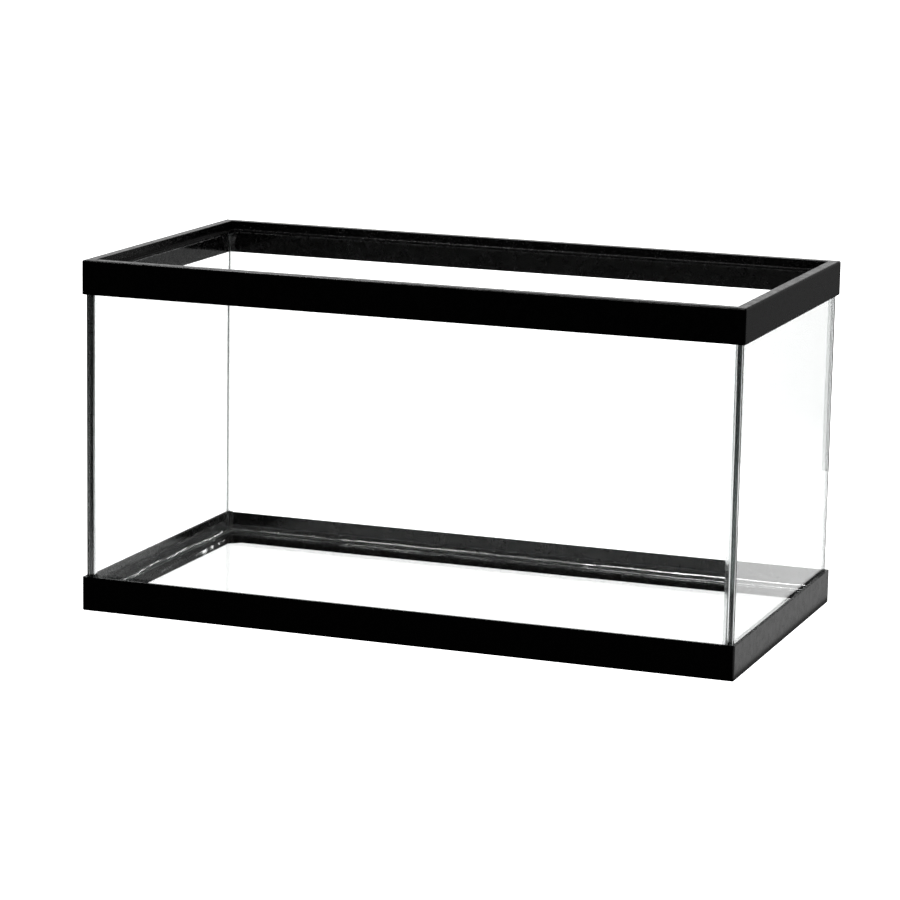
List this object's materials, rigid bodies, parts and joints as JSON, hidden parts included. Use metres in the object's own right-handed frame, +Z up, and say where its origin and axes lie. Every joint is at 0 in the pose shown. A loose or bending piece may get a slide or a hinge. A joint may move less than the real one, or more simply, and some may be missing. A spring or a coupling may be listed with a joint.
{
  "type": "rimmed glass aquarium tank",
  "caption": "Open-topped rectangular glass tank with black moulded top and bottom frames, a lid ledge and clear silicone seams.",
  "frame": {"origin": "centre of the bottom frame's underside, on the surface that the tank stands on", "axes": "+X along the tank's length, +Y from front to back, +Z up"},
  "size_m": [0.616, 0.3174, 0.322],
  "materials": {
    "frame_plastic": "satin",
    "glass": "polished, clear",
    "silicone": "clear, glossy"
  },
  "bodies": {
    "root": {"top_frame": "frame_plastic", "bottom_frame": "frame_plastic", "front_glass": "glass", "back_glass": "glass", "left_glass": "glass", "right_glass": "glass", "bottom_glass": "glass", "corner_seam_front_left": "silicone", "corner_seam_front_right": "silicone", "corner_seam_back_left": "silicone", "corner_seam_back_right": "silicone", "bottom_seam_front": "silicone", "bottom_seam_back": "silicone", "bottom_seam_left": "silicone", "bottom_seam_right": "silicone", "top_bond_front": "silicone", "top_bond_back": "silicone", "top_bond_left": "silicone", "top_bond_right": "silicone", "bottom_bond_front": "silicone", "bottom_bond_back": "silicone", "bottom_bond_left": "silicone", "bottom_bond_right": "silicone"}
  },
  "joints": []
}
